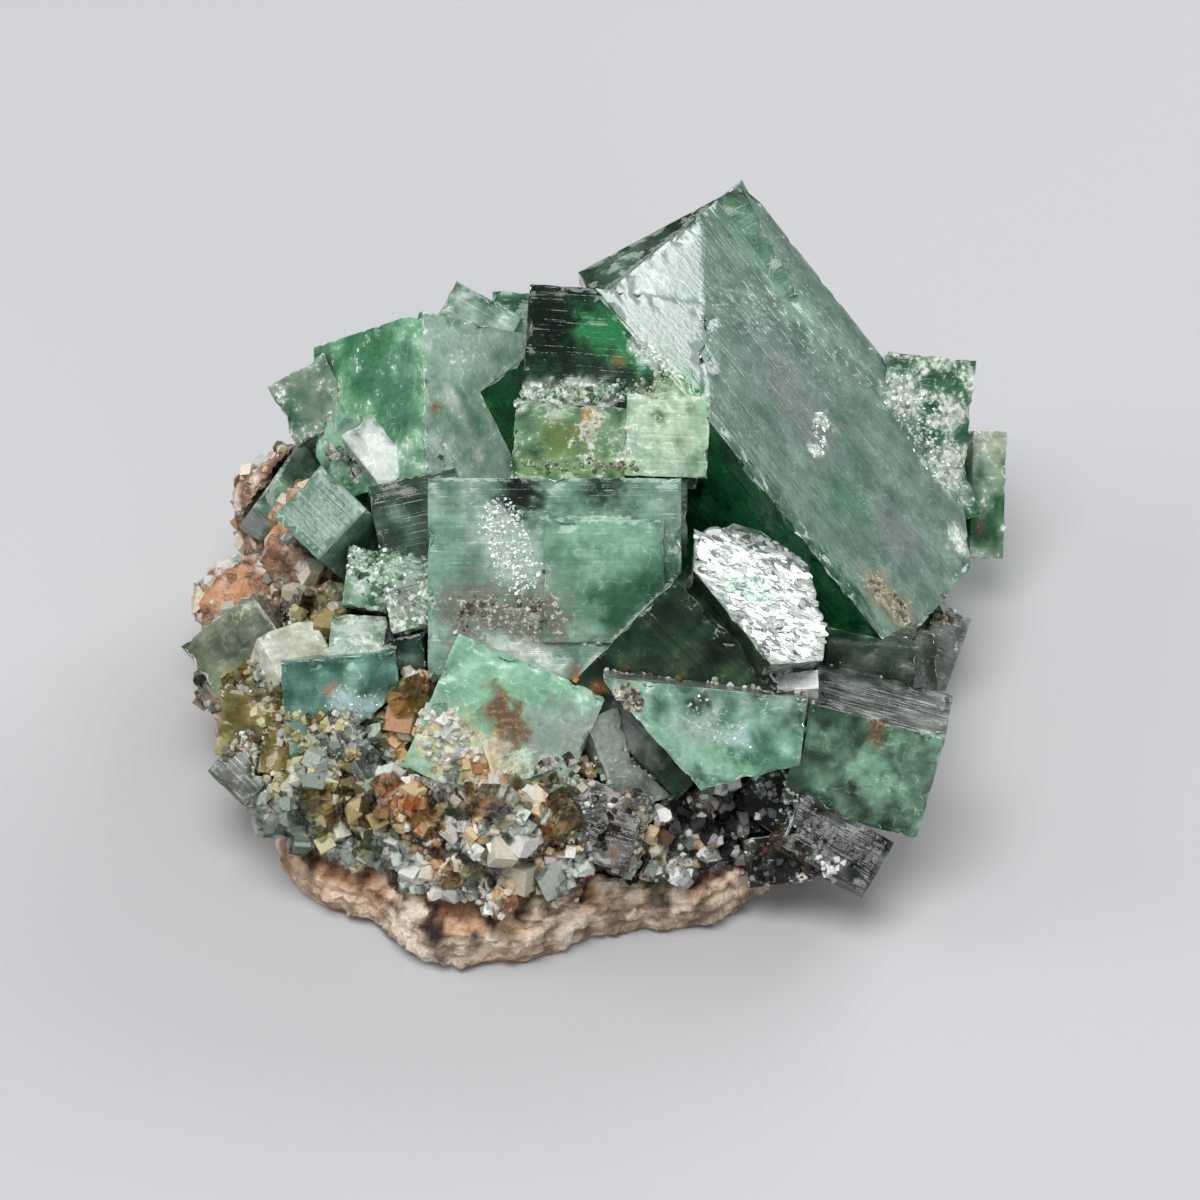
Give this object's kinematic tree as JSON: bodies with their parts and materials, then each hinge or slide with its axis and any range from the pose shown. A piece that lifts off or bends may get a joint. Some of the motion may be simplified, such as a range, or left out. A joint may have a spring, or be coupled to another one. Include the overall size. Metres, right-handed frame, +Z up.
{
  "type": "fluorite cluster",
  "caption": "Green fluorite cubes grown through each other, standing on a thin slab of host rock that rests on its flat underside.",
  "frame": {"origin": "middle of the footprint on the surface that the rock rests on", "axes": "+Z up, -Y towards the side that the picture shows, +X to its right"},
  "size_m": [0.0668, 0.0686, 0.0378],
  "materials": {
    "green_fluorite": "clear and cloudy green, glossy faces",
    "teal_fluorite": "clear teal and olive, glossy faces",
    "clear_fluorite": "clear mint, glossy faces",
    "mottled_fluorite": "mottled green, glossy faces",
    "mint_fluorite": "cloudy mint with brown stains",
    "pale_fluorite": "clear grey, striated",
    "grey_fluorite": "clear grey, rough",
    "host_rock": "broken tan and pink rock with iron stain and druse"
  },
  "bodies": {
    "root": {"main_crystals": "green_fluorite", "left_crystals": "teal_fluorite", "front_middle_crystal": "clear_fluorite", "front_right_crystals": "mottled_fluorite", "front_left_crystals": "mint_fluorite", "lower_left_crystal": "pale_fluorite", "right_chip": "grey_fluorite", "matrix": "host_rock"}
  },
  "joints": []
}
